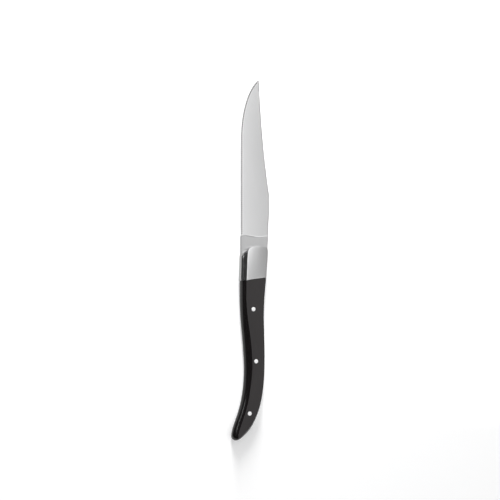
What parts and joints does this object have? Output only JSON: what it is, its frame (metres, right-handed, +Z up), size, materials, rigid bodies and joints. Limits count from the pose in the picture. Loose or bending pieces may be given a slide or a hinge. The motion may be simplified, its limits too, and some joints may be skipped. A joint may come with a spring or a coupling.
{
  "type": "steak knife",
  "caption": "Steak knife with a fine-toothed upswept blade, a polished steel bolster and a curved black riveted handle with a drooping tail.",
  "frame": {"origin": "centre of the bounding box's underside, with the knife lying on the flat lower side of its handle", "axes": "+Y along the knife towards the tip, -X towards the cutting edge, +Z up through the thickness"},
  "size_m": [0.0256, 0.23, 0.01],
  "materials": {
    "blade_steel": "satin stainless steel, brushed across the blade",
    "bolster_steel": "polished stainless steel",
    "handle_black": "black, semi-gloss on the rounded sides and finely matt on the broad faces",
    "rivet_steel": "bright stainless steel, ground flush"
  },
  "bodies": {
    "root": {"blade": "blade_steel", "bolster_lower": "bolster_steel", "bolster_upper": "bolster_steel", "scale_lower": "handle_black", "scale_upper": "handle_black", "front_rivet": "rivet_steel", "middle_rivet": "rivet_steel", "rear_rivet": "rivet_steel"}
  },
  "joints": []
}
